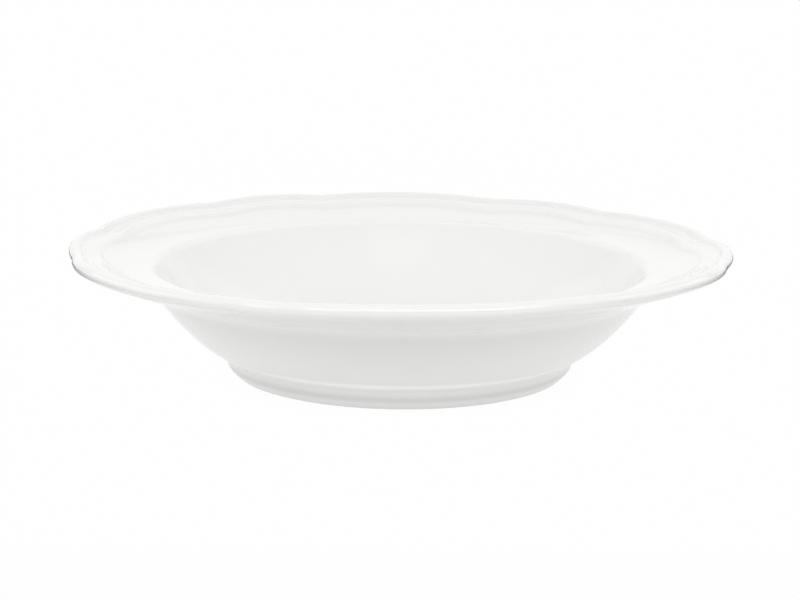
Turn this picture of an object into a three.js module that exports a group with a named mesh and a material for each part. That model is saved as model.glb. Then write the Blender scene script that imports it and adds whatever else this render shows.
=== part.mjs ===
import * as THREE from 'three';

// A deep soup plate of white glazed stoneware: a round well on a foot ring, a wide sloping
// flange, and a moulded border whose edge is scalloped in wide and narrow lobes.
// Millimetres, +Z up. The origin is the middle of the ring that the foot stands on.
// Radii and heights are those of the fired clay. The glaze lies on top of it.

// Foot ring
const FOOT_HEIGHT = 5.2;       // standing plane to the underside of the base
const FOOT_SPREAD = 12.9;      // top of the outer face, outside the edge of the flat floor
const FOOT_CURL = 5.6;         // how far the outer face curves in on its way down
const FOOT_LEAN = 4;           // degrees that its top leans in
const FOOT_COVE = 2.2;         // soft corner between wall and outer face
const FOOT_PULL = 1.6;         // pull of the outer face's top on its curve
const SOLE_PULL = 3.6;         // pull of the standing ring on that curve
const SOLE_RISE = 42;          // degrees, slope of the outer face above the standing ring
const SOLE_ROUND = 2.0;        // rounding between the two
const SOLE_WIDTH = 1.3;        // flat ring that the foot stands on
const FOOT_SLANT = 3.0;        // how far the inner face leans in under the base
const FOOT_INNER_ROUND = 1.5;  // rounding between inner face and standing ring

// Well
const BODY_THICKNESS = 4.4;    // clay of the base and of the wall
const FLOOR_RADIUS = 50.5;     // flat middle of the well
const WALL_SPREAD = 39.9;      // edge of the flat floor to the verge, across
const WELL_DEPTH = 30.9;       // floor to the verge, up
const FLOOR_REACH = 20.5;      // how far the floor's tangent pulls the wall's curve outwards
const WALL_REACH = 8.0;        // how far the verge's tangent pulls it down
const WALL_LEAN = 50;          // degrees from level at the verge
const VERGE_ROUND = 2.6;       // rounding where the wall turns into the flange
const VERGE_PROUD = 0.45;      // how far the verge stands over the wall

// Flange and the root where it leaves the wall below
const FLANGE_WIDTH = 18.4;     // verge to the foot of the border
const FLANGE_RISE = 3.45;
const FLANGE_SAG = 0.7;        // how far the middle hangs below the straight line
const ROOT_REACH = 4.9;        // verge to the end of the root's fillet, measured outwards
const ROOT_THICKNESS = 5.8;    // clay at that place
const ROOT_DROP = 5.5;         // depth of the fillet on the wall
const ROOT_ROUND = 3.0;        // pull of the fillet's tangents

// Border: a broad step, a narrow bead, a groove and the rolled lip
const STEP_WIDTH = 4.4;
const STEP_RISE = 1.95;
const BEAD_WIDTH = 2.6;
const BEAD_RISE = 0.6;
const RISER_WIDTH = 0.3;       // shares of width and rise that pull up the foot of a step
const RISER_CLIMB = 0.7;
const CROWN_WIDTH = 0.6;       // shares that pull its top level
const CROWN_CLIMB = 1.08;
const LIP_ROUND = 2.0;         // radius of the roll
const LIP_GROOVE = 0.65;       // groove between the bead and the roll
const LIP_RISE = 1.75;         // groove to the top of the lip
const LIP_FLANK = 55;          // degrees, steepness where the groove's cove meets the roll
const LIP_COVE = 0.8;          // pull of the roll on that cove

// Scallop
const LOBE_PAIRS = 6;          // one narrow and one wide lobe each
const NARROW_LOBE = 24;        // degrees of the circle
const FIRST_CUSP = -13.5;      // degrees, from +X towards +Y
const CUSP_DEPTH = 1.7;        // tip of a lobe to the notch beside it
const LOBE_LIFT = 0.4;         // the edge falls this much for each millimetre it goes in
const BORDER_KINK = 1.4;       // the border's inner line swings more than the edge

// Firing left the rim a slight saddle: high in one direction, low a quarter turn on
const RIM_WARP = 0.7;
const WARP_TURN = -61.5;       // degrees, from +X towards +Y, along the middle of a lobe

// Glaze
const GLAZE = 0.4;             // thickness of the coat
const BOND = 0.05;             // space left between coat and clay, so that neither cuts the other

// Facets, and the halvings that find a place on a curve
const NARROW_STEPS = 5;
const WIDE_STEPS = 7;
const WELL_STEPS = 5;
const VERGE_STEPS = 2;
const FLANGE_STEPS = 3;
const RAISED_STEPS = 3;
const COVE_STEPS = 2;
const LIP_STEPS = 6;
const UNDER_STEPS = 2;
const ROOT_STEPS = 2;
const WALL_STEPS = 4;
const FACE_STEPS = 3;
const ROUND_STEPS = 2;
const HALVINGS = 50;

// Places that follow from the sizes
const floorHeight = FOOT_HEIGHT + BODY_THICKNESS;
const vergeRadius = FLOOR_RADIUS + WALL_SPREAD;
const vergeHeight = floorHeight + WELL_DEPTH;
const borderRadius = vergeRadius + FLANGE_WIDTH;
const borderHeight = vergeHeight + FLANGE_RISE;
const grooveRadius = borderRadius + STEP_WIDTH + BEAD_WIDTH;
const grooveHeight = borderHeight + STEP_RISE + BEAD_RISE;
const lipRadius = grooveRadius + LIP_GROOVE + LIP_ROUND;
const lipHeight = grooveHeight + LIP_RISE - LIP_ROUND;
const footRadius = FLOOR_RADIUS + FOOT_SPREAD;
const soleRadius = footRadius - FOOT_CURL;
const { degToRad, smoothstep, lerp } = THREE.MathUtils;

const at = (radius, height) => new THREE.Vector2(radius, height);

// Points of a curve after its first one.
const after = (curve, steps) => curve.getPoints(steps).slice(1);

// Finds where a value that grows along 0..1 reaches a target.
function reach(value, target) {
  let low = 0;
  let high = 1;
  for (let turn = 0; turn < HALVINGS; turn++) {
    const middle = (low + high) / 2;
    if (value(middle) < target) low = middle;
    else high = middle;
  }
  return low;
}

// The well's face: level at the floor, leaning outwards at the verge.
const floorEdge = at(FLOOR_RADIUS, floorHeight);
const verge = at(vergeRadius, vergeHeight);
const lean = at(Math.cos(degToRad(WALL_LEAN)), Math.sin(degToRad(WALL_LEAN)));
const wellCurve = new THREE.CubicBezierCurve(
  floorEdge,
  at(FLOOR_RADIUS + FLOOR_REACH, floorHeight),
  verge.clone().addScaledVector(lean, -WALL_REACH),
  verge,
);

// The outside of the wall, one thickness behind the well's face.
function wallOutside(share) {
  const tangent = wellCurve.getTangentAt(share);
  return wellCurve.getPointAt(share).add(at(tangent.y, -tangent.x).multiplyScalar(BODY_THICKNESS));
}

// A step of the border: steep at its foot, nearly level at its top.
function raised(start, width, rise) {
  return new THREE.CubicBezierCurve(
    start,
    start.clone().add(at(RISER_WIDTH * width, RISER_CLIMB * rise)),
    start.clone().add(at(CROWN_WIDTH * width, CROWN_CLIMB * rise)),
    start.clone().add(at(width, rise)),
  );
}

// The face, from the middle of the floor to the groove beside the lip.
function facePoints() {
  const points = [at(0, floorHeight), floorEdge];
  const wellEnd = 1 - VERGE_ROUND / wellCurve.getLength();
  for (let step = 1; step <= WELL_STEPS; step++) {
    points.push(wellCurve.getPointAt(wellEnd * step / WELL_STEPS));
  }
  const border = at(borderRadius, borderHeight);
  const outwards = at(FLANGE_WIDTH, FLANGE_RISE - 4 * FLANGE_SAG).normalize();
  const flangeStart = verge.clone().addScaledVector(outwards, VERGE_ROUND);
  const brow = at(vergeRadius - VERGE_PROUD, vergeHeight);
  points.push(...after(new THREE.QuadraticBezierCurve(points.at(-1), brow, flangeStart), VERGE_STEPS));
  const sag = flangeStart.clone().lerp(border, 0.5).sub(at(0, 2 * FLANGE_SAG));
  points.push(...after(new THREE.QuadraticBezierCurve(flangeStart, sag, border), FLANGE_STEPS));
  points.push(...after(raised(border, STEP_WIDTH, STEP_RISE), RAISED_STEPS));
  points.push(...after(raised(points.at(-1), BEAD_WIDTH, BEAD_RISE), RAISED_STEPS));
  return points;
}

// A point of the lip's circle.
const lipCentre = at(lipRadius, lipHeight);
const onLip = (angle) => at(LIP_ROUND, 0).rotateAround(at(0, 0), angle).add(lipCentre);

// Angle at which a straight line from a point below touches the lip's circle.
function touchAngle(point) {
  const away = point.clone().sub(lipCentre);
  return away.angle() + Math.acos(LIP_ROUND / away.length()) - 2 * Math.PI;
}

// The lip's roll, from its groove over the top to the underside, and on to the root of the flange.
function lipPoints(root) {
  const flank = degToRad(LIP_FLANK);
  const start = Math.PI / 2 + flank;
  const groove = at(grooveRadius, grooveHeight);
  const pull = onLip(start).sub(at(LIP_COVE * Math.cos(flank), LIP_COVE * Math.sin(flank)));
  const points = after(new THREE.QuadraticBezierCurve(groove, pull, onLip(start)), COVE_STEPS);
  for (let step = 1; step <= LIP_STEPS; step++) {
    points.push(onLip(lerp(start, touchAngle(root), step / LIP_STEPS)));
  }
  points.push(...after(new THREE.LineCurve(points.at(-1), root), UNDER_STEPS));
  return points;
}

// The outside, from the fillet under the flange down to the cove above the foot.
function outsidePoints(root, underside) {
  const top = reach((share) => wallOutside(share).y, root.y - ROOT_DROP);
  const low = reach((share) => wallOutside(share).x, footRadius + FOOT_COVE);
  const wallTop = wallOutside(top);
  const fillet = new THREE.CubicBezierCurve(
    root,
    root.clone().addScaledVector(underside, ROOT_ROUND),
    wallTop.clone().addScaledVector(wellCurve.getTangentAt(top), ROOT_ROUND),
    wallTop,
  );
  const points = after(fillet, ROOT_STEPS);
  for (let step = 1; step <= WALL_STEPS; step++) {
    points.push(wallOutside(lerp(top, low, step / WALL_STEPS)));
  }
  return points.concat(footFace(points.at(-1), wellCurve.getTangentAt(low)));
}

// The cove under the wall, and the foot's outer face down to the rounding where the glaze stops.
function footFace(wallEnd, climb) {
  const corner = wallEnd.clone().addScaledVector(climb, -FOOT_COVE / climb.x);
  const down = at(-Math.sin(degToRad(FOOT_LEAN)), -Math.cos(degToRad(FOOT_LEAN)));
  const faceTop = corner.clone().addScaledVector(down, FOOT_COVE);
  const rise = at(Math.cos(degToRad(SOLE_RISE)), Math.sin(degToRad(SOLE_RISE)));
  const faceEnd = at(soleRadius + SOLE_ROUND * rise.y, SOLE_ROUND * (1 - rise.x));
  const face = new THREE.CubicBezierCurve(
    faceTop,
    faceTop.clone().addScaledVector(down, FOOT_PULL),
    faceEnd.clone().addScaledVector(rise, SOLE_PULL),
    faceEnd,
  );
  const cove = new THREE.QuadraticBezierCurve(wallEnd, corner, faceTop);
  return [...after(cove, COVE_STEPS), ...after(face, FACE_STEPS)];
}

// A rounding of the foot, turning from one angle to the next.
function roundPoints(radius, height, size, from, to) {
  const arc = new THREE.EllipseCurve(radius, height, size, size, from, to, true);
  return arc.getPoints(ROUND_STEPS);
}

// The whole half-section of the clay, through the tip of a lobe, with the rows where glaze stops.
function claySection() {
  const root = at(vergeRadius + ROOT_REACH, vergeHeight - ROOT_THICKNESS);
  root.y += FLANGE_RISE * ROOT_REACH / FLANGE_WIDTH;
  const points = facePoints();
  points.push(...lipPoints(root));
  const underside = root.clone().sub(points.at(-2)).normalize();
  points.push(...outsidePoints(root, underside));
  const faceEnd = points.length;
  const lowest = -Math.PI / 2;
  const sole = roundPoints(soleRadius, SOLE_ROUND, SOLE_ROUND, degToRad(SOLE_RISE) + lowest, lowest);
  points.push(...sole.slice(1));
  const inner = soleRadius - SOLE_WIDTH;
  points.push(...roundPoints(inner, FOOT_INNER_ROUND, FOOT_INNER_ROUND, lowest, -Math.PI));
  const baseStart = points.length - 1;
  const baseRadius = inner - FOOT_INNER_ROUND - FOOT_SLANT;
  points.push(at(baseRadius, FOOT_HEIGHT), at(0, FOOT_HEIGHT));
  return { points, faceEnd, baseStart };
}

// Directions in which the rim is cut, each with how far the edge lies inside the tip of a lobe
// and how far the saddle lifts it.
function rimStations() {
  const narrow = degToRad(NARROW_LOBE);
  const wide = 2 * Math.PI / LOBE_PAIRS - narrow;
  const lobes = [[narrow, NARROW_STEPS], [wide, WIDE_STEPS]];
  const stations = [];
  let cusp = degToRad(FIRST_CUSP);
  for (let pair = 0; pair < LOBE_PAIRS; pair++) {
    for (const [width, steps] of lobes) {
      for (let step = 0; step < steps; step++) {
        const across = step / steps;
        const angle = cusp + across * width;
        const dip = CUSP_DEPTH * (2 * across - 1) ** 2;
        const warp = RIM_WARP * Math.cos(2 * (angle - degToRad(WARP_TURN)));
        stations.push({ angle, dip, warp });
      }
      cusp += width;
    }
  }
  return stations;
}

// The section at one station, drawn in and lowered by the scallop and lifted by the saddle.
// The well takes no part in it, and the border's inner line the most.
function shaped(points, { dip, warp }) {
  return points.map((point) => {
    const grow = smoothstep(point.x, vergeRadius + VERGE_ROUND, borderRadius);
    const settle = smoothstep(point.x, borderRadius, grooveRadius);
    const shift = dip * grow * lerp(BORDER_KINK, 1, settle);
    return at(point.x - shift, point.y - LOBE_LIFT * shift + warp * grow);
  });
}

// A line of points moved out of the clay by one distance, with its corners mitred.
function movedOut(points, distance) {
  const normals = points.slice(1).map((point, i) => {
    const along = point.clone().sub(points[i]).normalize();
    return at(-along.y, along.x);
  });
  return points.map((point, i) => {
    const onAxis = normals[Math.min(i, normals.length - 1)];
    if (point.x === 0) return at(0, point.y + Math.sign(onAxis.y) * distance);
    const mitre = normals[i - 1].clone().add(normals[i]);
    return point.clone().addScaledVector(mitre, 2 * distance / mitre.lengthSq());
  });
}

// A closed skin over one section per station. Each section starts and ends on the axis.
// order names the clay's row that each point lies on, so that a coat is split like its clay.
function loft(stations, order, sections) {
  const rows = sections[0].length - 2;
  const count = stations.length;
  const positions = [0, 0, sections[0][0].y, 0, 0, sections[0].at(-1).y];
  sections.forEach((section, j) => {
    const { angle } = stations[j];
    for (const point of section.slice(1, -1)) {
      positions.push(point.x * Math.cos(angle), point.x * Math.sin(angle), point.y);
    }
  });
  const first = 0;
  const last = 1;
  const corner = (row, j) => 2 + (j % count) * rows + row;
  const index = [];
  for (let j = 0; j < count; j++) {
    index.push(first, corner(0, j), corner(0, j + 1));
    for (let row = 0; row < rows - 1; row++) {
      const quad = [corner(row, j), corner(row + 1, j), corner(row + 1, j + 1), corner(row, j + 1)];
      if (order[row + 1] > order[row + 2]) quad.unshift(quad.pop());
      index.push(quad[0], quad[1], quad[2], quad[0], quad[2], quad[3]);
    }
    index.push(corner(rows - 1, j), last, corner(rows - 1, j + 1));
  }
  const geometry = new THREE.BufferGeometry();
  geometry.setAttribute('position', new THREE.Float32BufferAttribute(positions, 3));
  geometry.setIndex(index);
  geometry.computeVertexNormals();
  return geometry;
}

const stations = rimStations();
const { points, faceEnd, baseStart } = claySection();
const claySections = stations.map((station) => shaped(points, station));

// A coat over some of the clay's rows: its own outside, and back along the clay.
function coat(rows) {
  const back = rows.toReversed();
  const startsOnAxis = rows[0] === 0;
  const order = startsOnAxis ? [...rows, ...back] : [...back, ...rows];
  const sections = claySections.map((section) => {
    const near = movedOut(section, BOND);
    const far = movedOut(section, BOND + GLAZE);
    const sides = startsOnAxis ? [far, near] : [near, far];
    return order.map((row, i) => sides[i < rows.length ? 0 : 1][row]);
  });
  return { order, sections };
}

const bareClay = new THREE.MeshStandardMaterial({ color: 0xe6e0d3, roughness: 0.85, metalness: 0 });
const whiteGlaze = new THREE.MeshStandardMaterial({ color: 0xf3f3f1, roughness: 0.12, metalness: 0 });
const undersideGlaze = new THREE.MeshStandardMaterial({ color: 0xefefec, roughness: 0.15, metalness: 0 });

const clayRows = points.map((point, row) => row);
const plate = new THREE.Group();
const pieces = [
  ['clay_body', { order: clayRows, sections: claySections }, bareClay],
  ['face_glaze', coat(clayRows.slice(0, faceEnd)), whiteGlaze],
  ['base_glaze', coat(clayRows.slice(baseStart)), undersideGlaze],
];
for (const [name, { order, sections }, material] of pieces) {
  const mesh = new THREE.Mesh(loft(stations, order, sections), material);
  mesh.name = name;
  plate.add(mesh);
}

export default plate;
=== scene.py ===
# %% [markdown]
# # A scalloped soup plate
# The plate is one piece of fired clay with a coat of white glaze over its face and outside, and a second,
# separate patch of glaze under its base. The construction model already holds those three solids at their
# real size, with coarse facets. This lesson makes the fine surface around that model: the same sizes,
# turned as a potter turns a plate, then scalloped, glazed, lit and photographed.
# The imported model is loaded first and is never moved, so everything made here shares its frame:
# metres, +Z up, with the origin in the middle of the ring that the foot stands on.

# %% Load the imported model
import math

import bmesh
import bpy
import numpy as np
from mathutils import Matrix, Vector


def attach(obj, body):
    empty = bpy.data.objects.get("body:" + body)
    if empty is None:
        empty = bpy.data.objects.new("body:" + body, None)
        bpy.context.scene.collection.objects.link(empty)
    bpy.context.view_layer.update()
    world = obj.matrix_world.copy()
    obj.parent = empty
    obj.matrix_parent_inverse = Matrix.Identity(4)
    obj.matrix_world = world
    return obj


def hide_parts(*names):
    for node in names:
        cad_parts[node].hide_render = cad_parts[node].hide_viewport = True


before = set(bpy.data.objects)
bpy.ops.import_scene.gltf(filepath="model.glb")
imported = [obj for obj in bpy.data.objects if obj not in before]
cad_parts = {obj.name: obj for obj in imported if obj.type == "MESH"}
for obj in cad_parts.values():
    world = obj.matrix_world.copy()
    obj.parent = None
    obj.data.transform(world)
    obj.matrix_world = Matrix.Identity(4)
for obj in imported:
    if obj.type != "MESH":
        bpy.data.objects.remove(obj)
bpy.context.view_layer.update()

# %% [markdown]
# ## The potter's sizes
# A potter works from a few sizes: how wide the floor is, how deep the well, how broad the flange.
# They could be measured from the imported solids, but the facets hide the curves between the corners.
# So the driving sizes are written down again, in millimetres of fired clay, and every place on the
# section follows from them.

# %% Sizes of the foot, the well and the flange
MM = 0.001

FOOT_HEIGHT = 5.2        # standing plane to the underside of the base
FOOT_SPREAD = 12.9       # top of the foot's outer face, outside the edge of the flat floor
FOOT_CURL = 5.6          # how far the outer face curves in on its way down to the standing ring
FOOT_COVE = 2.2          # soft hollow between the wall and the foot
FOOT_LEAN = math.radians(4)     # lean of the outer face below it, inwards
FOOT_PULL = 1.6          # pull of the face's top on its curve
SOLE_PULL = 3.6          # pull of the standing ring on it
SOLE_RISE = math.radians(42)    # slope at which the face comes up from the standing ring
SOLE_ROUND = 2.0         # rounding between face and standing ring
SOLE_WIDTH = 1.3         # flat that the foot stands on
FOOT_SLANT = 3.0         # how far the inner face leans in under the base
FOOT_INNER_ROUND = 1.5   # rounding between inner face and standing ring

BODY_THICKNESS = 4.4
FLOOR_RADIUS = 50.5
WALL_SPREAD = 39.9       # edge of the flat floor to the verge, across
WELL_DEPTH = 30.9
FLOOR_REACH = 20.5       # pull of the floor's tangent on the wall's curve
WALL_REACH = 8.0         # pull of the verge's tangent on it
WALL_LEAN = math.radians(50)
VERGE_ROUND = 2.6        # rounding where the wall turns into the flange
VERGE_PROUD = 0.45       # how far the verge stands over the wall

FLANGE_WIDTH = 18.4
FLANGE_RISE = 3.45
FLANGE_SAG = 0.7         # how far the middle of the flange hangs below the straight line
ROOT_REACH = 4.9         # verge to the end of the fillet under the flange
ROOT_THICKNESS = 5.8     # clay at that place
ROOT_DROP = 5.5          # depth of the fillet on the wall
ROOT_ROUND = 3.0         # pull of the fillet's tangents
ROOT_RIDGE = 0.22        # height of a faint ridge that runs round the root
UNDER_RIDGE = 0.05       # height of the faint rings that the border leaves below the rim
RIDGE_WIDTH = 0.6

floor_height = FOOT_HEIGHT + BODY_THICKNESS
verge = np.array([FLOOR_RADIUS + WALL_SPREAD, floor_height + WELL_DEPTH])
border = verge + (FLANGE_WIDTH, FLANGE_RISE)
foot_top = FLOOR_RADIUS + FOOT_SPREAD
sole_radius = foot_top - FOOT_CURL
print("verge at", verge, "border at", border, "foot from", foot_top, "down to", sole_radius)

# %% Sizes of the border, the scallop and the glaze
STEP_WIDTH = 4.4         # broad step at the border's foot
STEP_RISE = 1.95
BEAD_WIDTH = 2.6         # narrow bead above it
BEAD_RISE = 0.6
RISER = (0.3, 0.7)       # shares of width and rise that pull up the foot of a step
CROWN = (0.6, 1.08)      # shares that pull its top level
LIP_ROUND = 2.0          # radius of the rolled lip
LIP_GROOVE = 0.65        # groove between the bead and the roll
LIP_RISE = 1.75          # groove to the top of the lip
LIP_FLANK = math.radians(55)    # steepness where the cove inside the lip meets the roll
LIP_COVE = 0.8           # pull of the roll on that cove

LOBE_PAIRS = 6           # one narrow and one wide lobe each
NARROW_LOBE = math.radians(24)
FIRST_CUSP = math.radians(-13.5)
CUSP_DEPTH = 1.7
CUSP_SOFTNESS = 0.6      # share of the depth over which glaze rounds the notch
LOBE_LIFT = 0.4          # the edge falls this much for each millimetre it goes in
BORDER_KINK = 1.4        # the border's inner line swings more than the edge
RIM_WARP = 0.7           # slight saddle from the firing
WARP_TURN = math.radians(-61.5)

GLAZE = 0.4
BOND = 0.05              # space between coat and clay

bead_start = border + (STEP_WIDTH, STEP_RISE)
groove = bead_start + (BEAD_WIDTH, BEAD_RISE)
lip_centre = groove + (LIP_GROOVE + LIP_ROUND, LIP_RISE - LIP_ROUND)
print("groove at", groove, "lip centre at", lip_centre)

# %% [markdown]
# ## Curves for the half-section
# A plate is drawn as half a section: a line that runs over the face, round the lip and back under the foot.
# Its stretches are straight lines, arcs and Bézier curves. One helper samples a Bézier of any degree, and a
# Bézier with two corners is a straight line. It leaves out the first point, so that stretches join without
# doubled corners. The other helper samples an arc with both of its ends.

# %% Sample lines, Bézier curves and arcs
def bezier(corners, steps):
    """Points after the first one, on the Bézier curve with these corners."""
    corners = np.asarray(corners, float)
    points = np.repeat(corners[None], steps, axis=0)
    share = (np.arange(1, steps + 1) / steps)[:, None, None]
    while points.shape[1] > 1:
        points = points[:, :-1] * (1 - share) + points[:, 1:] * share
    return points[:, 0]


def arc(centre, radius, start, end, steps):
    """Points on a circle from one angle to another, both ends included."""
    angle = np.linspace(start, end, steps + 1)
    return np.asarray(centre) + radius * np.stack([np.cos(angle), np.sin(angle)], axis=1)


def unit(vector):
    return np.asarray(vector) / np.linalg.norm(vector)


def lengths(points):
    """How far along its line each point lies."""
    return np.concatenate([[0], np.cumsum(np.linalg.norm(np.diff(points, axis=0), axis=1))])


STEPS = {"floor": 4, "well": 14, "verge": 4, "flange": 5, "step": 6, "bead": 4,
         "lip cove": 3, "lip": 10, "under": 14, "root": 10, "wall": 12,
         "foot cove": 4, "foot face": 8, "sole round": 3, "inner round": 4, "inner face": 3, "base": 6}
print("steps along the stretches of the section:", STEPS)
print("a quarter arc in 2 steps:", arc((0, 0), 1, 0, math.pi / 2, 2).round(3).tolist())

# %% [markdown]
# ## The face
# The well is level in the middle and climbs to the verge in one sweep, the verge turns softly into the
# flange, and a broad step and a narrow bead run round the flange's edge. On the wheel this is one movement
# of a profiled tool. Here it is one list of points that grows outwards. `fine` multiplies the steps of
# every stretch but the flat floor, so the hidden clay can stay light while the glaze over it is smooth.

# %% Draw the face from the axis to the lip's groove
lean = np.array([math.cos(WALL_LEAN), math.sin(WALL_LEAN)])
floor_edge = np.array([FLOOR_RADIUS, floor_height])
well_corners = [floor_edge, floor_edge + (FLOOR_REACH, 0), verge - WALL_REACH * lean, verge]
WELL_SAMPLES = 2000


def well_by_length(share):
    """Places on the well's curve at these shares of its length, the directions there, and the length."""
    dense = np.vstack([floor_edge, bezier(well_corners, WELL_SAMPLES)])
    along = lengths(dense)
    slope = np.gradient(dense, along, axis=0)
    wanted = np.asarray(share) * along[-1]
    place = np.stack([np.interp(wanted, along, dense[:, axis]) for axis in (0, 1)], axis=-1)
    heading = np.stack([np.interp(wanted, along, slope[:, axis]) for axis in (0, 1)], axis=-1)
    return place, heading, along[-1]


def raised(start, end, steps):
    """A step of the border, steep at its foot and nearly level at its top."""
    stride = end - start
    return bezier([start, start + stride * RISER, start + stride * CROWN, end], steps)


def face_line(fine):
    well_length = well_by_length(0)[2]
    well_end = 1 - VERGE_ROUND / well_length
    well = well_by_length(np.linspace(0, well_end, STEPS["well"] * fine + 1))[0]
    pull_down = np.array([0, 2 * FLANGE_SAG])   # a curve hangs half as far as its middle corner
    flange_start = verge + VERGE_ROUND * unit(border - verge - 2 * pull_down)
    floor_radii = np.linspace(0, FLOOR_RADIUS, STEPS["floor"], endpoint=False)
    line = [np.stack([floor_radii, np.full(STEPS["floor"], floor_height)], axis=1), well]
    line.append(bezier([well[-1], verge - (VERGE_PROUD, 0), flange_start], STEPS["verge"] * fine))
    sag = (flange_start + border) / 2 - pull_down
    line.append(bezier([flange_start, sag, border], STEPS["flange"] * fine))
    line.append(raised(border, bead_start, STEPS["step"] * fine))
    line.append(raised(bead_start, groove, STEPS["bead"] * fine))
    return np.vstack(line)


CLAY_FINE, GLAZE_FINE = 1, 3
print("face in", len(face_line(CLAY_FINE)), "points, or", len(face_line(GLAZE_FINE)), "for the glaze")

# %% [markdown]
# ## The lip and the underside
# The edge is rolled: a cove climbs out of the border's groove and turns over a small circle. The underside
# leaves the circle on a straight line that just touches it, runs in to the root, a soft fillet where flange
# and wall meet, and goes down the outside of the wall, one thickness behind the well's face. Faint rings
# show below where the border's grooves are above, and one more runs round the root. They are too fine for
# the solids, but they catch the light.

# %% Draw the lip, the underside and the wall
def touch_angle(point):
    """Angle at which a line from a point below touches the lip's circle."""
    away = point - lip_centre
    return math.atan2(away[1], away[0]) + math.acos(LIP_ROUND / np.linalg.norm(away)) - math.tau


def wall_outside(share):
    place, heading, _ = well_by_length(share)
    return place + BODY_THICKNESS * np.stack([heading[..., 1], -heading[..., 0]], axis=-1)


def ringed(line, inwards, radii, height):
    """A line with a faint ring on its lower side at each of these radii."""
    bulge = np.exp(-((line[:, :1] - radii) / RIDGE_WIDTH) ** 2).sum(axis=1)
    return line + height * bulge[:, None] * np.array([-inwards[1], inwards[0]])


def lip_line(root, fine):
    roll = arc(lip_centre, LIP_ROUND, math.pi / 2 + LIP_FLANK, touch_angle(root), STEPS["lip"] * fine)
    climb = np.array([math.cos(LIP_FLANK), math.sin(LIP_FLANK)])
    cove = bezier([groove, roll[0] - LIP_COVE * climb, roll[0]], STEPS["lip cove"] * fine)
    return np.vstack([cove[:-1], roll])


def under_line(fine):
    root = verge + (ROOT_REACH, FLANGE_RISE * ROOT_REACH / FLANGE_WIDTH - ROOT_THICKNESS)
    lip = lip_line(root, fine)
    inwards = unit(root - lip[-1])
    grooves = np.array([bead_start[0], groove[0]])
    under = ringed(bezier([lip[-1], root], STEPS["under"] * fine), inwards, grooves, UNDER_RIDGE)
    shares = np.linspace(0, 1, WELL_SAMPLES)
    outside = wall_outside(shares)
    top = np.interp(root[1] - ROOT_DROP, outside[:, 1], shares)
    low = np.interp(foot_top + FOOT_COVE, outside[:, 0], shares)
    climb = well_by_length(top)[1]
    wall_top = wall_outside(top)
    fillet_corners = [root, root + ROOT_ROUND * inwards, wall_top + ROOT_ROUND * climb, wall_top]
    ridge_radius = root[:1] - 2 * RIDGE_WIDTH
    fillet = ringed(bezier(fillet_corners, STEPS["root"] * fine), inwards, ridge_radius, ROOT_RIDGE)
    wall = wall_outside(np.linspace(top, low, STEPS["wall"] * fine + 1)[1:])
    return np.vstack([lip, under, fillet, wall])


print("lip, underside and wall in", len(under_line(CLAY_FINE)), "points")

# %% [markdown]
# ## The foot and the whole section
# The wall runs into the foot through a soft hollow. The foot's outer face then curves in and rounds off
# to a narrow flat that the plate stands on, and another rounding leads inside. Flat and roundings are
# wiped clean of glaze before the firing, so that the plate doesn't stick to the kiln shelf. The section
# keeps two marks: the row where the outer coat ends, and the row where the patch under the base begins.

# %% Draw the foot and join the section
def foot_line(fine, wall_end, wall_slope):
    corner = wall_end - (FOOT_COVE, FOOT_COVE * wall_slope)
    down = -np.array([math.sin(FOOT_LEAN), math.cos(FOOT_LEAN)])
    rise = np.array([math.cos(SOLE_RISE), math.sin(SOLE_RISE)])
    face_top = corner + FOOT_COVE * down
    face_end = np.array([sole_radius + SOLE_ROUND * rise[1], SOLE_ROUND * (1 - rise[0])])
    face_corners = [face_top, face_top + FOOT_PULL * down, face_end + SOLE_PULL * rise, face_end]
    straight_down = -math.pi / 2
    cove = bezier([wall_end, corner, face_top], STEPS["foot cove"] * fine)
    face = bezier(face_corners, STEPS["foot face"] * fine)
    sole = arc((sole_radius, SOLE_ROUND), SOLE_ROUND, SOLE_RISE + straight_down, straight_down,
               STEPS["sole round"] * fine)[1:]
    inner_centre = (sole_radius - SOLE_WIDTH, FOOT_INNER_ROUND)
    inner = arc(inner_centre, FOOT_INNER_ROUND, straight_down, -math.pi, STEPS["inner round"] * fine)
    base_corner = inner[-1] + (-FOOT_SLANT, FOOT_HEIGHT - FOOT_INNER_ROUND)
    inner_face = bezier([inner[-1], base_corner], STEPS["inner face"] * fine)
    base = bezier([base_corner, (0, FOOT_HEIGHT)], STEPS["base"] * fine)
    return np.vstack([cove, face]), np.vstack([sole, inner]), np.vstack([inner_face, base])


def clay_section(fine):
    upper = np.vstack([face_line(fine), under_line(fine)])
    last_step = upper[-1] - upper[-2]
    outer, sole, recess = foot_line(fine, upper[-1], last_step[1] / last_step[0])
    points = np.vstack([upper, outer, sole, recess])
    coat_end = len(upper) + len(outer) - 1
    base_start = len(upper) + len(outer) + len(sole) - 1
    return points, coat_end, base_start


section, coat_end, base_start = clay_section(CLAY_FINE)
print("section of", len(section), "points; outer coat ends at", section[coat_end], "base glaze from",
      section[base_start])

# %% [markdown]
# ## How the glaze lies
# Glaze is a liquid in the kiln. It keeps about the same thickness everywhere, but it draws back from
# sharp edges and gathers in grooves, and it ends in a small rounded roll. So the coat is the clay's
# section moved outwards with mitred corners, then smoothed along its own length. How far the smoothing
# moved each point is kept as `pooling`: above zero where the glaze is thick, below where it is thin.

# %% Lay the coat over the section
GLAZE_FLOW = 0.3         # millimetres over which the melt evens itself out
ROLL_LENGTH = 1.1        # length of the rounded end of the coat
POOLING_SCALE = 0.12     # millimetres of extra glaze that count as fully pooled


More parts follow.
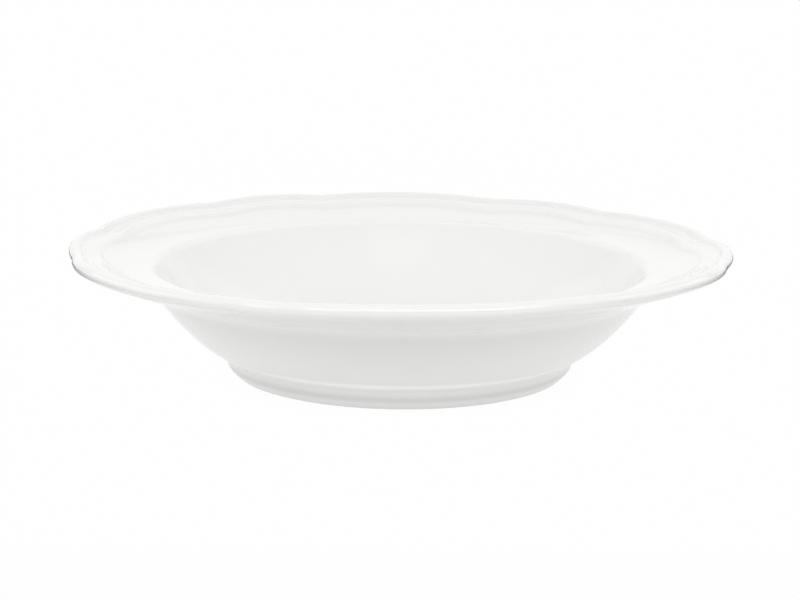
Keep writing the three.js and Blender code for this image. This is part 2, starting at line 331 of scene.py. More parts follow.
def outward(points):
    """Unit mitre directions out of the clay, with their stretch at each corner."""
    along = np.diff(points, axis=0)
    normal = np.stack([-along[:, 1], along[:, 0]], axis=1) / np.linalg.norm(along, axis=1)[:, None]
    mitre = np.vstack([normal[:1], normal]) + np.vstack([normal, normal[-1:]])
    mitre *= 2 / np.sum(mitre ** 2, axis=1)[:, None]
    return mitre


def flowed(points):
    """Points evened out along their line over the glaze's flow length."""
    place = lengths(points)
    gap = np.gradient(place)
    weight = gap[None] * np.exp(-((place[:, None] - place[None]) / GLAZE_FLOW) ** 2 / 2)
    even = weight @ points / weight.sum(axis=1)[:, None]
    even[[0, -1]] = points[[0, -1]]
    return even


def coat_surface(points, roll_at):
    """The free surface of a coat that ends in a roll at its first (0) or last (-1) point."""
    mitre = outward(points)
    from_end = np.abs(lengths(points) - lengths(points)[roll_at])
    swell = np.sqrt(1 - np.clip(1 - from_end / ROLL_LENGTH, 0, 1) ** 2)
    plain = points + mitre * (BOND + GLAZE)
    melted = flowed(plain)
    pooling = np.sum((melted - plain) * mitre, axis=1) / POOLING_SCALE
    surface = points + mitre * BOND + (melted - points - mitre * BOND) * swell[:, None]
    return surface, pooling


fine_section, fine_end, fine_base = clay_section(GLAZE_FINE)
face_surface, face_pooling = coat_surface(fine_section[:fine_end + 1], -1)
base_surface, base_pooling = coat_surface(fine_section[fine_base:], 0)
print("face glaze pooling from", face_pooling.min().round(2), "to", face_pooling.max().round(2))

# %% [markdown]
# ## Sections as meshes
# The turning is done by Geometry Nodes, and a node tree needs the section as geometry. A chain of
# vertices does it: each vertex carries its place, the radius of the clay below it (the scallop follows
# the clay, not the glaze) and the pooling. A coat's section runs out over its free surface and back
# along the clay, so that the turned coat is a closed shell with a real thickness.

# %% Write the three sections as chains of vertices
scene = bpy.context.scene


def in_scene(name, data):
    """A new object, linked to the scene."""
    thing = bpy.data.objects.new(name, data)
    scene.collection.objects.link(thing)
    return thing


def section_object(name, points, clay_radius, pooling):
    mesh = bpy.data.meshes.new(name)
    places = [(radius * MM, 0, height * MM) for radius, height in points]
    mesh.from_pydata(places, [(row, row + 1) for row in range(len(places) - 1)], [])
    for label, values in (("clay_radius", clay_radius * MM), ("pooling", pooling)):
        layer = mesh.attributes.new(label, "FLOAT", "POINT")
        layer.data.foreach_set("value", np.asarray(values, np.float32))
    return in_scene(name, mesh)


def coat_chain(name, surface, surface_clay, pooling, under):
    """A coat's chain: its free surface and its underside, from axis to axis."""
    underside = (under + outward(under) * BOND)[::-1]
    under_radius = under[::-1, 0]
    still = np.zeros(len(under) - 1)
    starts_on_axis = surface[0][0] == 0
    if starts_on_axis:
        places = [surface, underside[1:]]
        radii = [surface_clay[:, 0], under_radius[1:]]
        pools = [pooling, still]
    else:
        places = [underside[:-1], surface]
        radii = [under_radius[:-1], surface_clay[:, 0]]
        pools = [still, pooling]
    return section_object(name, np.vstack(places), np.concatenate(radii), np.concatenate(pools))


body = section_object("plate_body", section, section[:, 0], np.zeros(len(section)))
face_coat = coat_chain("face_coat", face_surface, fine_section[:fine_end + 1], face_pooling,
                       section[:coat_end + 1])
base_coat = coat_chain("base_coat", base_surface, fine_section[fine_base:], base_pooling,
                       section[base_start:])
for piece in (body, face_coat, base_coat):
    print(piece.name, "section:", len(piece.data.vertices), "vertices")

# %% [markdown]
# ## Turning and scalloping with Geometry Nodes
# The whole plate follows one rule: the section is swept round the axis, and near the edge it is drawn in
# between the lobes. Spin or a Screw modifier would turn it, but neither knows about the lobes. A node
# tree does both: it makes a grid with one column for each point of the section and one row for each
# direction, looks the section's point up, and bends the grid into the plate. Three pieces share the tree.
# Its inputs are the sizes, and are named so that they can be changed by hand in the modifier panel.

# %% Start the tree with its inputs and small helpers
DIRECTIONS = 240         # how many sections stand round the axis
turning = bpy.data.node_groups.new("turn_and_scallop", "GeometryNodeTree")
turning.interface.new_socket("Plate", in_out="OUTPUT", socket_type="NodeSocketGeometry")
turning.interface.new_socket("Section", in_out="INPUT", socket_type="NodeSocketGeometry")
tree_inputs = {}
SIZES = {
    "Directions": DIRECTIONS,
    "Lobe pairs": LOBE_PAIRS,
    "Narrow lobe": NARROW_LOBE,
    "First cusp": FIRST_CUSP,
    "Cusp depth": CUSP_DEPTH * MM,
    "Cusp softness": CUSP_SOFTNESS,
    "Edge fall": LOBE_LIFT,
    "Border kink": BORDER_KINK,
    "Scallop from": (verge[0] + VERGE_ROUND) * MM,
    "Border at": border[0] * MM,
    "Groove at": groove[0] * MM,
    "Saddle": RIM_WARP * MM,
    "Saddle turn": WARP_TURN,
}
for label, value in SIZES.items():
    kind = "NodeSocketInt" if isinstance(value, int) else "NodeSocketFloat"
    tree_inputs[label] = turning.interface.new_socket(label, in_out="INPUT", socket_type=kind)
tree_inputs["Finish"] = turning.interface.new_socket("Finish", in_out="INPUT",
                                                     socket_type="NodeSocketMaterial")
given = turning.nodes.new("NodeGroupInput").outputs


def plug(tree, source, socket):
    """Links an output to a socket, or sets the socket to a plain value."""
    if isinstance(source, bpy.types.NodeSocket):
        tree.links.new(source, socket)
    else:
        socket.default_value = source


def calc(tree, operation, *values):
    """A Math node with these inputs, which gives its result."""
    node = tree.nodes.new("ShaderNodeMath")
    node.operation = operation
    for socket, value in zip(node.inputs, values):
        plug(tree, value, socket)
    return node.outputs[0]


print("tree inputs:", ", ".join(tree_inputs))

# %% [markdown]
# First the plain turning. Grid points know their place in a unit square: left to right counts along the
# section, bottom to top goes once round. Sample Index fetches the section's point with that count.

# %% Look the section up for every point of a grid
def sampled(source, data_type, index):
    node = turning.nodes.new("GeometryNodeSampleIndex")
    node.data_type = data_type
    turning.links.new(given["Section"], node.inputs["Geometry"])
    turning.links.new(source, node.inputs["Value"])
    turning.links.new(index, node.inputs["Index"])
    return node.outputs["Value"]


def attribute(label):
    node = turning.nodes.new("GeometryNodeInputNamedAttribute")
    node.data_type = "FLOAT"
    node.inputs["Name"].default_value = label
    return node.outputs["Attribute"]


HALF_GRID = 0.5          # a grid of 1 m reaches this far to each side of its middle
counter = turning.nodes.new("GeometryNodeAttributeDomainSize")
turning.links.new(given["Section"], counter.inputs["Geometry"])
grid = turning.nodes.new("GeometryNodeMeshGrid")
plug(turning, counter.outputs["Point Count"], grid.inputs["Vertices X"])
plug(turning, calc(turning, "ADD", given["Directions"], 1), grid.inputs["Vertices Y"])
square = turning.nodes.new("ShaderNodeSeparateXYZ")
here = turning.nodes.new("GeometryNodeInputPosition").outputs[0]
turning.links.new(here, square.inputs[0])
last_point = calc(turning, "SUBTRACT", counter.outputs["Point Count"], 1)
column = calc(turning, "MULTIPLY", calc(turning, "ADD", square.outputs["X"], HALF_GRID), last_point)
whole = turning.nodes.new("FunctionNodeFloatToInt")
whole.rounding_mode = "ROUND"
turning.links.new(column, whole.inputs[0])
angle = calc(turning, "MULTIPLY", calc(turning, "ADD", square.outputs["Y"], HALF_GRID), math.tau)

drawn = turning.nodes.new("ShaderNodeSeparateXYZ")
turning.links.new(sampled(here, "FLOAT_VECTOR", whole.outputs[0]), drawn.inputs[0])
clay_radius = sampled(attribute("clay_radius"), "FLOAT", whole.outputs[0])
pooled = sampled(attribute("pooling"), "FLOAT", whole.outputs[0])
print("turning part of the tree:", len(turning.nodes), "nodes")

# %% [markdown]
# Then the scallop. Seen from above the edge is a ring of shallow arcs, wide and narrow in turn, that meet
# in notches. A parabola over each lobe gives how far the edge lies inside the lobe's tip. Ping-pong turns
# the angle into the distance from the nearest narrow lobe's middle, and a smooth minimum of the two
# parabolas rounds the notch as the glaze does.

# %% Work out how far each direction is drawn in
pair = calc(turning, "DIVIDE", math.tau, given["Lobe pairs"])
half_pair = calc(turning, "MULTIPLY", pair, 0.5)
half_narrow = calc(turning, "MULTIPLY", given["Narrow lobe"], 0.5)
half_wide = calc(turning, "SUBTRACT", half_pair, half_narrow)
narrow_middle = calc(turning, "ADD", given["First cusp"], half_narrow)
from_narrow = calc(turning, "PINGPONG", calc(turning, "SUBTRACT", angle, narrow_middle), half_pair)
from_wide = calc(turning, "SUBTRACT", half_pair, from_narrow)
narrow_arc = calc(turning, "POWER", calc(turning, "DIVIDE", from_narrow, half_narrow), 2)
wide_arc = calc(turning, "POWER", calc(turning, "DIVIDE", from_wide, half_wide), 2)
soft_arc = calc(turning, "SMOOTH_MIN", narrow_arc, wide_arc, given["Cusp softness"])
SMOOTH_MIN_LOSS = 6      # a smooth minimum falls short of the notch by a sixth of its softness
kept = calc(turning, "SUBTRACT", 1, calc(turning, "DIVIDE", given["Cusp softness"], SMOOTH_MIN_LOSS))
dip = calc(turning, "MULTIPLY", calc(turning, "DIVIDE", soft_arc, kept), given["Cusp depth"])


def ranged(tree, value, low, high, low_result, high_result, kind="LINEAR"):
    """A Map Range node, clamped, which gives its result; SMOOTHSTEP eases both of its ends."""
    node = tree.nodes.new("ShaderNodeMapRange")
    node.interpolation_type = kind
    for socket, given_value in zip(node.inputs, (value, low, high, low_result, high_result)):
        plug(tree, given_value, socket)
    return node.outputs[0]


growth = ranged(turning, clay_radius, given["Scallop from"], given["Border at"], 0, 1, "SMOOTHSTEP")
swing = ranged(turning, clay_radius, given["Border at"], given["Groove at"], given["Border kink"], 1,
               "SMOOTHSTEP")
draw_in = calc(turning, "MULTIPLY", calc(turning, "MULTIPLY", dip, growth), swing)
print("with the scallop:", len(turning.nodes), "nodes")

# %% [markdown]
# Last the places. The section's point goes in by the scallop, down by the edge's fall and up or down with
# the saddle that the firing left. Merge by Distance closes the seam and gathers the points on the axis.

# %% Bend the grid into the plate and close it
WELD_DISTANCE = 0.001    # millimetres; points nearer than this become one
SADDLE_WAVES = 2         # a saddle rises twice on its way round
from_saddle = calc(turning, "SUBTRACT", angle, given["Saddle turn"])
saddle_angle = calc(turning, "MULTIPLY", from_saddle, SADDLE_WAVES)
saddle = calc(turning, "MULTIPLY", calc(turning, "COSINE", saddle_angle), given["Saddle"])
radius = calc(turning, "SUBTRACT", drawn.outputs["X"], draw_in)
edge_fall = calc(turning, "MULTIPLY", draw_in, given["Edge fall"])
fallen = calc(turning, "SUBTRACT", drawn.outputs["Z"], edge_fall)
height = calc(turning, "ADD", fallen, calc(turning, "MULTIPLY", saddle, growth))
place = turning.nodes.new("ShaderNodeCombineXYZ")
plug(turning, calc(turning, "MULTIPLY", radius, calc(turning, "COSINE", angle)), place.inputs["X"])
plug(turning, calc(turning, "MULTIPLY", radius, calc(turning, "SINE", angle)), place.inputs["Y"])
plug(turning, height, place.inputs["Z"])

keep_pooling = turning.nodes.new("GeometryNodeStoreNamedAttribute")
keep_pooling.data_type = "FLOAT"
keep_pooling.inputs["Name"].default_value = "pooling"
turning.links.new(pooled, keep_pooling.inputs["Value"])
bend = turning.nodes.new("GeometryNodeSetPosition")
turning.links.new(place.outputs[0], bend.inputs["Position"])
weld = turning.nodes.new("GeometryNodeMergeByDistance")
weld.inputs["Distance"].default_value = WELD_DISTANCE * MM
smooth = turning.nodes.new("GeometryNodeSetShadeSmooth")
realize = turning.nodes.new("GeometryNodeRealizeInstances")
finish = turning.nodes.new("GeometryNodeSetMaterial")
turning.links.new(given["Finish"], finish.inputs["Material"])
plate_out = turning.nodes.new("NodeGroupOutput")
chain = [grid, keep_pooling, bend, weld, smooth, realize, finish, plate_out]
for before, after in zip(chain, chain[1:]):
    turning.links.new(before.outputs[0], after.inputs[0])
print("whole tree:", len(turning.nodes), "nodes")

# %% [markdown]
# ## A shader group for specks
# Here and there a fine speck of iron from the clay comes through a glaze. Both glazes and the bare clay
# have them, so specks are a shader group that each finish takes with its own values. Specks could be
# painted by hand, but a Voronoi texture scatters them evenly: it parts space into cells, and a small share
# of the cells shows a dot in its middle.

# %% Build the group for specks
def shader_group(name, inputs, outputs):
    group = bpy.data.node_groups.new(name, "ShaderNodeTree")
    for label, kind in inputs.items():
        group.interface.new_socket(label, in_out="INPUT", socket_type=kind)
    for label, kind in outputs.items():
        group.interface.new_socket(label, in_out="OUTPUT", socket_type=kind)
    return group, group.nodes.new("NodeGroupInput").outputs, group.nodes.new("NodeGroupOutput").inputs


def object_place(tree):
    """Object coordinates, which stay with the piece."""
    return tree.nodes.new("ShaderNodeTexCoord").outputs["Object"]


FLOAT, COLOUR = "NodeSocketFloat", "NodeSocketColor"
specks, speck_in, speck_out = shader_group(
    "kiln_specks", {"Per metre": FLOAT, "Speck size": FLOAT, "Share": FLOAT}, {"Specks": FLOAT})
cells = specks.nodes.new("ShaderNodeTexVoronoi")
specks.links.new(object_place(specks), cells.inputs["Vector"])
specks.links.new(speck_in["Per metre"], cells.inputs["Scale"])
chance = specks.nodes.new("ShaderNodeSeparateColor")
specks.links.new(cells.outputs["Color"], chance.inputs[0])
chosen = calc(specks, "LESS_THAN", chance.outputs[0], speck_in["Share"])
dot = ranged(specks, cells.outputs["Distance"], 0, speck_in["Speck size"], 1, 0)
plug(specks, calc(specks, "MULTIPLY", chosen, dot), speck_out["Specks"])
print("kiln_specks:", len(specks.nodes), "nodes")

# %% [markdown]
# ## A shader group for the skin of a glaze
# No glaze is one flat colour. It is a touch warmer where it thins over an edge and the clay shows through,
# and a touch greyer where it pools in the grooves; that grey is partly the pooled glaze and partly painted
# shade, which darkens the grooves of the border. Its surface has a slow waviness that bends reflections,
# with a fine peel over it. Both glazes share this skin, so it is a group as well. Thin and pooled places
# follow the `pooling` that the sections carry, and noise on Object coordinates makes the rest.

# %% Build the group for the skin of a glaze
MIX_FIRST, MIX_SECOND, MIX_RESULT = 6, 7, 2     # a Mix node's colour sockets, which share their names


def mixed(tree, share, first, second):
    """A colour between two others."""
    node = tree.nodes.new("ShaderNodeMix")
    node.data_type = "RGBA"
    plug(tree, share, node.inputs["Factor"])
    plug(tree, first, node.inputs[MIX_FIRST])
    plug(tree, second, node.inputs[MIX_SECOND])
    return node.outputs[MIX_RESULT]


def noise(tree, scale, detail):
    """Noise on Object coordinates, in patches of about 1 / scale metres."""
    node = tree.nodes.new("ShaderNodeTexNoise")
    node.inputs["Scale"].default_value = scale
    node.inputs["Detail"].default_value = detail
    tree.links.new(object_place(tree), node.inputs["Vector"])
    return node.outputs["Fac"]


skin, skin_in, skin_out = shader_group(
    "glaze_skin",
    {"Glaze": COLOUR, "Thin": COLOUR, "Pooled and shaded": COLOUR, "Pooling": FLOAT, "Specks": FLOAT,
     "Smooth": FLOAT, "Dull": FLOAT},
    {"Color": COLOUR, "Roughness": FLOAT, "Height": FLOAT})
CLOUDS_PER_METRE, WAVES_PER_METRE, PEEL_PER_METRE = 38, 90, 420
CLOUD_DETAIL, WAVE_DETAIL = 3, 1
WAVE_SHARE, PEEL_SHARE = 0.85, 0.15     # of the skin's height
EVEN_POOLING, FULL_TINT = 0.1, 0.8      # pooling up to the first leaves the colour as it is
NOISE_LOW, NOISE_HIGH = 0.3, 0.7        # most of a noise lies between these
CLOUD_FROM, CLOUD_TINT = 0.35, 0.25
thinness = ranged(skin, skin_in["Pooling"], -1, -EVEN_POOLING, FULL_TINT, 0)
# Where the glaze pools in grooves, the mix towards the Pooled colour is partly pooled glaze and partly
# painted shade.
pooled_and_shaded = ranged(skin, skin_in["Pooling"], EVEN_POOLING, 1, 0, FULL_TINT)
clouds = noise(skin, CLOUDS_PER_METRE, CLOUD_DETAIL)
cloud_share = ranged(skin, clouds, CLOUD_FROM, NOISE_HIGH, 0, CLOUD_TINT)
cloudy = mixed(skin, cloud_share, skin_in["Glaze"], skin_in["Pooled and shaded"])
tinted = mixed(skin, pooled_and_shaded, mixed(skin, thinness, cloudy, skin_in["Thin"]), skin_in["Pooled and shaded"])
SPECK_COLOUR = (0.62, 0.55, 0.45, 1)
plug(skin, mixed(skin, skin_in["Specks"], tinted, SPECK_COLOUR), skin_out["Color"])
gloss = ranged(skin, clouds, NOISE_LOW, NOISE_HIGH, skin_in["Smooth"], skin_in["Dull"])
plug(skin, gloss, skin_out["Roughness"])
waves = calc(skin, "MULTIPLY", noise(skin, WAVES_PER_METRE, WAVE_DETAIL), WAVE_SHARE)
peel = calc(skin, "MULTIPLY", noise(skin, PEEL_PER_METRE, WAVE_DETAIL), PEEL_SHARE)
plug(skin, calc(skin, "ADD", waves, peel), skin_out["Height"])
print("glaze_skin:", len(skin.nodes), "nodes")

# %% [markdown]
# ## The two glazes
# The face has a clear, bright white gloss. The patch under the base is the same glaze, sprayed thinner
# and less evenly, with more specks. Each finish is one Principled BSDF. The groups vary its colour, its
# roughness and its bump, and what is the same all over, such as the IOR of glass, is set on the shader.

# %% Make the two glazes
def new_material(name):
    material = bpy.data.materials.new(name)
    material.use_nodes = True
    return material, material.node_tree, material.node_tree.nodes["Principled BSDF"]


def place_group(tree, group, values):
    node = tree.nodes.new("ShaderNodeGroup")
    node.node_tree = group
    for label, value in values.items():
        plug(tree, value, node.inputs[label])
    return node.outputs


def bump(tree, shader, height, distance):
    node = tree.nodes.new("ShaderNodeBump")
    node.inputs["Distance"].default_value = distance
    tree.links.new(height, node.inputs["Height"])
    tree.links.new(node.outputs["Normal"], shader.inputs["Normal"])


GLAZE_IOR = 1.52
GLAZE_SPECKS = {"Per metre": 240, "Speck size": 0.09}


def glaze_finish(name, speck_share, wave_height, looks):
    material, tree, shader = new_material(name)
    pooling = tree.nodes.new("ShaderNodeAttribute")
    pooling.attribute_name = "pooling"
    dots = place_group(tree, specks, {**GLAZE_SPECKS, "Share": speck_share})
    flow = {"Pooling": pooling.outputs["Fac"], "Specks": dots["Specks"]}
    surface = place_group(tree, skin, {**looks, **flow})
    tree.links.new(surface["Color"], shader.inputs["Base Color"])
    tree.links.new(surface["Roughness"], shader.inputs["Roughness"])
    bump(tree, shader, surface["Height"], wave_height * MM)
    shader.inputs["IOR"].default_value = GLAZE_IOR
    return material


# The Pooled colours are a little greyer: pooled glaze and painted shade in the grooves.
white_glaze = glaze_finish("glossy_white_glaze", speck_share=0.0004, wave_height=0.05, looks={
    "Glaze": (0.795, 0.795, 0.784, 1), "Thin": (0.803, 0.792, 0.768, 1), "Pooled and shaded": (0.780, 0.783, 0.774, 1),
    "Smooth": 0.07, "Dull": 0.12})
underside_glaze = glaze_finish("thin_base_glaze", speck_share=0.02, wave_height=0.09, looks={
    "Glaze": (0.805, 0.803, 0.785, 1), "Thin": (0.810, 0.787, 0.742, 1), "Pooled and shaded": (0.775, 0.778, 0.766, 1),
    "Smooth": 0.10, "Dull": 0.19})
print("glazes:", white_glaze.name, underside_glaze.name)

# %% [markdown]
# ## Painted highlight and shade round the foot
# The thin bright line over the foot is a painted highlight: a whiter glaze colour in a band over the hollow
# between the wall and the foot, which also paints out the shade in that hollow. On the foot's slope below
# it a greyer colour is painted shade. Each lies at one height, so its mask follows the height. The highlight
# also keeps outside a radius, because the well's floor lies as high inside it. The masks could be painted on
# a UV map, but a height holds for every direction at once.

# %% Paint a highlight and a shade into the glaze round the foot
HOLLOW_HEIGHT, HOLLOW_REACH = 9.7, 2.2   # middle of the painted highlight line above the table, and its fading out
HOLLOW_FROM = 62.0       # radius between the well's floor and the hollow outside
SLOPE_HEIGHT, SLOPE_REACH = 4.5, 2.4     # the same for the painted shade on the slope of the foot
# A whiter colour for the painted highlight and a greyer one for the painted shade.
PAINTED_HIGHLIGHT_COLOUR, PAINTED_SHADE_COLOUR = (0.96, 0.96, 0.95, 1), (0.66, 0.66, 0.645, 1)
glaze_tree = white_glaze.node_tree
glaze_shader = glaze_tree.nodes["Principled BSDF"]
glaze_parts = glaze_tree.nodes.new("ShaderNodeSeparateXYZ")
plug(glaze_tree, object_place(glaze_tree), glaze_parts.inputs[0])


def height_band(middle, reach):
    """A mask that is 1 at a height in millimetres and fades out above and below it."""
    off = calc(glaze_tree, "ABSOLUTE", calc(glaze_tree, "SUBTRACT", glaze_parts.outputs["Z"], middle * MM))
    return ranged(glaze_tree, off, 0, reach * MM, 1, 0, "SMOOTHSTEP")


across, away = glaze_parts.outputs["X"], glaze_parts.outputs["Y"]
square_radius = calc(glaze_tree, "MULTIPLY_ADD", across, across, calc(glaze_tree, "MULTIPLY", away, away))
outside = calc(glaze_tree, "GREATER_THAN", square_radius, (HOLLOW_FROM * MM) ** 2)
# Painted highlight: the whiter colour in a band over the hollow, outside the well's floor.
painted_highlight = calc(glaze_tree, "MULTIPLY", height_band(HOLLOW_HEIGHT, HOLLOW_REACH), outside)
skin_colour = glaze_shader.inputs["Base Color"].links[0].from_socket
# Painted shade: the greyer colour in a band on the foot's slope.
with_painted_shade = mixed(glaze_tree, height_band(SLOPE_HEIGHT, SLOPE_REACH), skin_colour, PAINTED_SHADE_COLOUR)
plug(glaze_tree, mixed(glaze_tree, painted_highlight, with_painted_shade, PAINTED_HIGHLIGHT_COLOUR), glaze_shader.inputs["Base Color"])
# The print gives the heights of the painted highlight and of the painted shade.
print("thick glaze at", HOLLOW_HEIGHT, "mm and thin glaze at", SLOPE_HEIGHT, "mm above the table")

# %% [markdown]
# ## The bare clay
# The wiped ring that the plate stands on is bare: matt, ivory, and marked in rings where it was ground flat.
# A wave texture in rings round the axis gives those marks to the bump, and a fine noise mottles the colour.

# %% Make the bare clay of the standing ring
fired_clay, clay_tree, clay_shader = new_material("bare_clay")
CLAY_PALE, CLAY_DARK, CLAY_SPECK = (0.80, 0.765, 0.69, 1), (0.70, 0.655, 0.57, 1), (0.42, 0.36, 0.29, 1)
CLAY_SPECKS = {"Per metre": 700, "Speck size": 0.22, "Share": 0.08}
GRAINS_PER_METRE, GRAIN_DETAIL = 900, 4
CLAY_SMOOTH, CLAY_ROUGH = 0.72, 0.92
GRINDING = {"Scale": 520, "Distortion": 2.5, "Detail": 2}
GRINDING_SHARE = 0.5     # height of the rings against the grain
CLAY_BUMP = 0.06         # millimetres
grain = noise(clay_tree, GRAINS_PER_METRE, GRAIN_DETAIL)
clay_dots = place_group(clay_tree, specks, CLAY_SPECKS)
grinding = clay_tree.nodes.new("ShaderNodeTexWave")
grinding.wave_type = "RINGS"
grinding.rings_direction = "Z"
for label, value in GRINDING.items():
    grinding.inputs[label].default_value = value
clay_tree.links.new(object_place(clay_tree), grinding.inputs["Vector"])
mottling = ranged(clay_tree, grain, NOISE_LOW, NOISE_HIGH, 0, 1)
mottled = mixed(clay_tree, mottling, CLAY_PALE, CLAY_DARK)
specked = mixed(clay_tree, clay_dots["Specks"], mottled, CLAY_SPECK)
plug(clay_tree, specked, clay_shader.inputs["Base Color"])
clay_roughness = ranged(clay_tree, grain, NOISE_LOW, NOISE_HIGH, CLAY_SMOOTH, CLAY_ROUGH)
plug(clay_tree, clay_roughness, clay_shader.inputs["Roughness"])
rings = calc(clay_tree, "MULTIPLY", grinding.outputs["Fac"], GRINDING_SHARE)
bump(clay_tree, clay_shader, calc(clay_tree, "ADD", rings, grain), CLAY_BUMP * MM)
print("bare clay:", fired_clay.name, len(clay_tree.nodes), "nodes")

# %% [markdown]
# ## Turn the pieces
# Each section gets the tree as a modifier. Inputs are set by their identifiers before the piece is first
# evaluated. The result is copied out as a plain mesh and the modifier goes, so that the piece's mesh is
# exactly what is seen. The volume tells whether the faces point outwards: it is positive if they do.

# %% Evaluate the tree into plain meshes
MILLILITRES = 1_000_000  # in a cubic metre


def turn_piece(piece, material):
    modifier = piece.modifiers.new("turn_and_scallop", "NODES")
    modifier.node_group = turning
    for label, value in SIZES.items():
        modifier[tree_inputs[label].identifier] = value
    modifier[tree_inputs["Finish"].identifier] = material
    depsgraph = bpy.context.evaluated_depsgraph_get()
    mesh = bpy.data.meshes.new_from_object(piece.evaluated_get(depsgraph), preserve_all_data_layers=True,
                                           depsgraph=depsgraph)
    piece.modifiers.remove(modifier)
    piece.data = mesh
    mesh.name = piece.name
    shape = bmesh.new()
    shape.from_mesh(mesh)
    open_edges = sum(not edge.is_manifold for edge in shape.edges)
    volume = shape.calc_volume(signed=True) * MILLILITRES
    shape.free()
    print(f"{piece.name}: {len(mesh.polygons)} faces, {open_edges} open edges, {volume:.1f} ml")


turn_piece(body, fired_clay)
turn_piece(face_coat, white_glaze)
turn_piece(base_coat, underside_glaze)

# %% [markdown]
# ## Tie the pieces to the construction
# Each fine piece stands for one of the imported solids and rides on the only body, because nothing on a
# plate moves. The imported solid that it stands for is hidden.

# %% Ride and replace the imported solids
for piece, node, slot in ((body, "clay_body", "fired_clay"), (face_coat, "face_glaze", "white_glaze"),
                          (base_coat, "base_glaze", "underside_glaze")):
    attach(piece, "root")
    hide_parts(node)

# %% [markdown]
# ## The camera
# The photograph looks a little down on the plate from arm's length with a long lens, and leans by about
# half a degree. The camera sits where a fit of the plate's outline put it.

# %% Place the camera
CAMERA_AWAY = 0.8        # metres from the plate's axis
CAMERA_HEIGHT = 0.18704
CAMERA_DOWN = 0.1977     # radians below level
CAMERA_LEAN = 0.01       # radians of roll
SENSOR_WIDTH, LENS = 36, 99.82   # millimetres
camera_data = bpy.data.cameras.new("camera")
camera_data.sensor_width = SENSOR_WIDTH
camera_data.sensor_fit = "HORIZONTAL"
camera_data.lens = LENS
camera = in_scene("camera", camera_data)
upright = Matrix.Rotation(math.pi / 2 - CAMERA_DOWN, 4, "X") @ Matrix.Rotation(CAMERA_LEAN, 4, "Z")
camera.matrix_world = Matrix.Translation((0, -CAMERA_AWAY, CAMERA_HEIGHT)) @ upright
bpy.context.scene.camera = camera
print("camera at", tuple(round(value, 3) for value in camera.location), "lens", camera_data.lens)

# %% [markdown]
# ## The light table
# White ware on white is lit like a product shot. The plate stands on a light table, a pale sheet that
# glows, so that light comes up under the rim. A lamp below the floor could do it, but a glowing sheet also
# shows in the glaze as a real one does. It is dimmer in front of the plate, which keeps the outside wall
# a little grey, and under the foot, where the plate shades it. The camera doesn't see this sheet.

# %% Lay the light table
scene.view_settings.view_transform = "Standard"
TABLE_HALF = 9.0         # metres
TABLE_GREY = 0.25
TABLE_GLOW = 0.71
DIM_FROM, DIM_TO = -0.21, -0.5   # the sheet dims between these places in front of the plate
DIM_SHARE = 0.25         # of the full glow
SHADE_FROM, SHADE_TO = 0.058, 0.070     # and under the foot, inside these radii
SHADE_SHARE = 0.85
MATT = 0.9               # roughness of paper and card


def flat_sheet(name, left, right, front, back, height, material):
    mesh = bpy.data.meshes.new(name)
    corners = [(left, front, height), (right, front, height), (right, back, height), (left, back, height)]
    mesh.from_pydata(corners, [], [(0, 1, 2, 3)])
    mesh.materials.append(material)
    sheet = in_scene(name, mesh)
    return sheet


def matt_sheet(name, grey):
    material, tree, shader = new_material(name)
    shader.inputs["Base Color"].default_value = (grey, grey, grey, 1)
    shader.inputs["Roughness"].default_value = MATT
    shader.inputs["Specular IOR Level"].default_value = 0
    return material, tree, shader


pale_sheet, sheet_tree, sheet_shader = matt_sheet("pale_sheet", TABLE_GREY)
sheet_place = object_place(sheet_tree)
sheet_parts = sheet_tree.nodes.new("ShaderNodeSeparateXYZ")
plug(sheet_tree, sheet_place, sheet_parts.inputs[0])
sheet_reach = sheet_tree.nodes.new("ShaderNodeVectorMath")
sheet_reach.operation = "LENGTH"
plug(sheet_tree, sheet_place, sheet_reach.inputs[0])
dimmed = ranged(sheet_tree, sheet_parts.outputs["Y"], DIM_TO, DIM_FROM, DIM_SHARE, 1)
shaded = ranged(sheet_tree, sheet_reach.outputs["Value"], SHADE_FROM, SHADE_TO, SHADE_SHARE, 1)
plug(sheet_tree, calc(sheet_tree, "MULTIPLY", dimmed, shaded), sheet_shader.inputs["Emission Color"])
sheet_shader.inputs["Emission Strength"].default_value = TABLE_GLOW
table = flat_sheet("light_table", -TABLE_HALF, TABLE_HALF, -TABLE_HALF, TABLE_HALF, 0, pale_sheet)
table.visible_camera = False
print("light table", 2 * TABLE_HALF, "m across")

# %% [markdown]
# ## The white ground
# The photograph is cut out on white. A ground as bright as that would wash out the wall if it lit the plate,
# so it is a second sheet in the same place, which only the camera sees. From below it is clear, so that
# the foot can be looked at: Backfacing is 1 there and takes the Alpha to 0.

# %% Lay the white ground that only the camera sees
GROUND_GREY = 0.1
GROUND_GLOW = 0.92
WHITE = (1, 1, 1, 1)
white_ground, ground_tree, ground_shader = matt_sheet("white_ground", GROUND_GREY)
ground_shader.inputs["Emission Color"].default_value = WHITE
ground_shader.inputs["Emission Strength"].default_value = GROUND_GLOW
from_below = ground_tree.nodes.new("ShaderNodeNewGeometry").outputs["Backfacing"]
plug(ground_tree, calc(ground_tree, "SUBTRACT", 1, from_below), ground_shader.inputs["Alpha"])
ground = flat_sheet("white_ground", -TABLE_HALF, TABLE_HALF, -TABLE_HALF, TABLE_HALF, 0, white_ground)
ground.visible_diffuse = ground.visible_glossy = ground.visible_shadow = False
print("white ground with a glow of", GROUND_GLOW)

# %% [markdown]
# ## The black cards
# Where white ware stands on white its ends get lost, so black cards are laid beside it, out of the picture.
# They show in the glaze alone, as a fine dark contour at the left and right end of the lip. Ray visibility
# keeps them out of the camera's view and lets them take no light away.

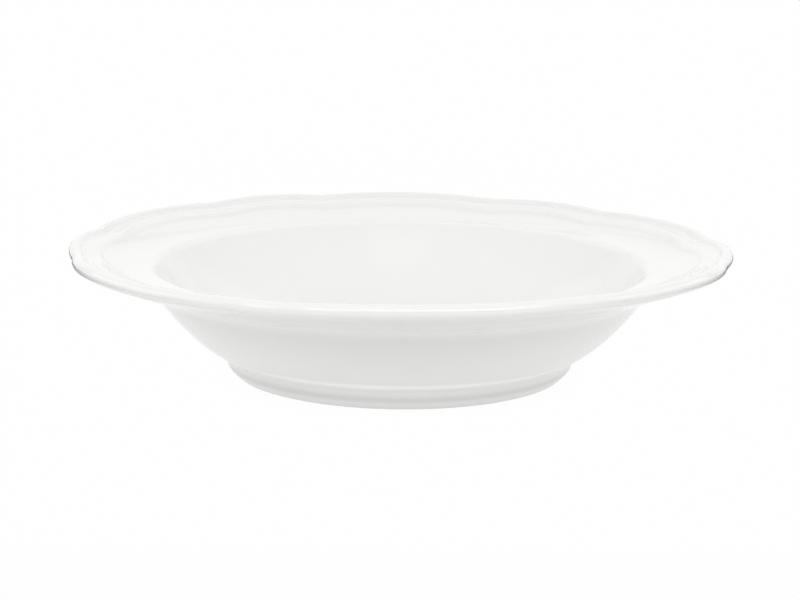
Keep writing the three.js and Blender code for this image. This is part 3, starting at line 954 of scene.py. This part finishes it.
# %% Lay out the black cards
CARD_NEAR, CARD_FAR = 0.15, 0.45        # metres left and right of the plate's middle
CARD_FRONT, CARD_BACK = -0.2, 0.35
CARD_HEIGHT = 0.001
CARD_GREY = 0.02
card_black = matt_sheet("card_black", CARD_GREY)[0]
for name, left, right in (("left_card", -CARD_FAR, -CARD_NEAR), ("right_card", CARD_NEAR, CARD_FAR)):
    card = flat_sheet(name, left, right, CARD_FRONT, CARD_BACK, CARD_HEIGHT, card_black)
    card.visible_camera = card.visible_diffuse = card.visible_shadow = False
print("black cards from", CARD_NEAR, "to", CARD_FAR, "m beside the plate")

# %% [markdown]
# ## The room
# Even light from all round would make the plate look flat. The room is bright above and behind but dark low
# down in front, which keeps the shape of the outside wall. A ramp over the direction does that, and for a
# world the Generated coordinate is the direction looked in.

# %% Light the room
ROOM_LIGHT = 0.85
HEIGHT_PULL = 1.3        # how much faster the room brightens upwards than backwards
DARK_FRONT, FULL_LIGHT = -1.0, 0.4
world = bpy.data.worlds.new("studio_room")
world.use_nodes = True
scene.world = world
room = world.node_tree
direction = room.nodes.new("ShaderNodeSeparateXYZ")
room.links.new(room.nodes.new("ShaderNodeTexCoord").outputs["Generated"], direction.inputs[0])
brighter = calc(room, "MULTIPLY_ADD", direction.outputs["Z"], HEIGHT_PULL, direction.outputs["Y"])
room_shader = room.nodes["Background"]
plug(room, ranged(room, brighter, DARK_FRONT, FULL_LIGHT, 0, ROOM_LIGHT), room_shader.inputs["Strength"])
room_shader.inputs["Color"].default_value = WHITE
print("room light up to", ROOM_LIGHT)

# %% [markdown]
# ## The soft boxes
# Soft boxes draw the soft reflections in the glaze and shade the border. Two long ones hang over the camera,
# one at each side and two behind, and a small one hangs overhead. Each is placed by its direction, so that
# it looks at the plate wherever it is turned to. Its brightness is given as radiance, which stays the same
# when the box gets another size.

# %% Hang the soft boxes
BOX_AWAY = 1.4           # metres from the plate


def soft_box(name, turn, climb, width, depth, radiance):
    """A soft box that looks at the plate from turn degrees right of the camera and climb degrees up."""
    away = Matrix.Rotation(math.radians(turn), 4, "Z") @ Matrix.Rotation(math.radians(-climb), 4, "X")
    place = away @ Vector((0, -BOX_AWAY, 0))
    data = bpy.data.lights.new(name, "AREA")
    data.shape = "RECTANGLE"
    data.size, data.size_y = width, depth
    data.energy = radiance * math.pi * width * depth
    box = in_scene(name, data)
    box.location = place
    box.rotation_euler = (-place).to_track_quat("-Z", "Y").to_euler()
    print(f"{name} at {tuple(round(value, 2) for value in place)}, {data.energy:.2f} W")


soft_box("low_front_box", turn=0, climb=28, width=2.1, depth=0.24, radiance=2.4)
soft_box("front_box", turn=0, climb=36, width=2.1, depth=0.24, radiance=4.0)
soft_box("top_box", turn=0, climb=65, width=0.5, depth=0.5, radiance=0.4)
soft_box("left_box", turn=-90, climb=21, width=2.0, depth=0.45, radiance=0.95)
soft_box("right_box", turn=90, climb=21, width=2.0, depth=0.45, radiance=0.92)
soft_box("back_box", turn=180, climb=15, width=2.1, depth=0.5, radiance=0.23)
soft_box("back_top_box", turn=180, climb=40, width=2.1, depth=0.6, radiance=0.27)
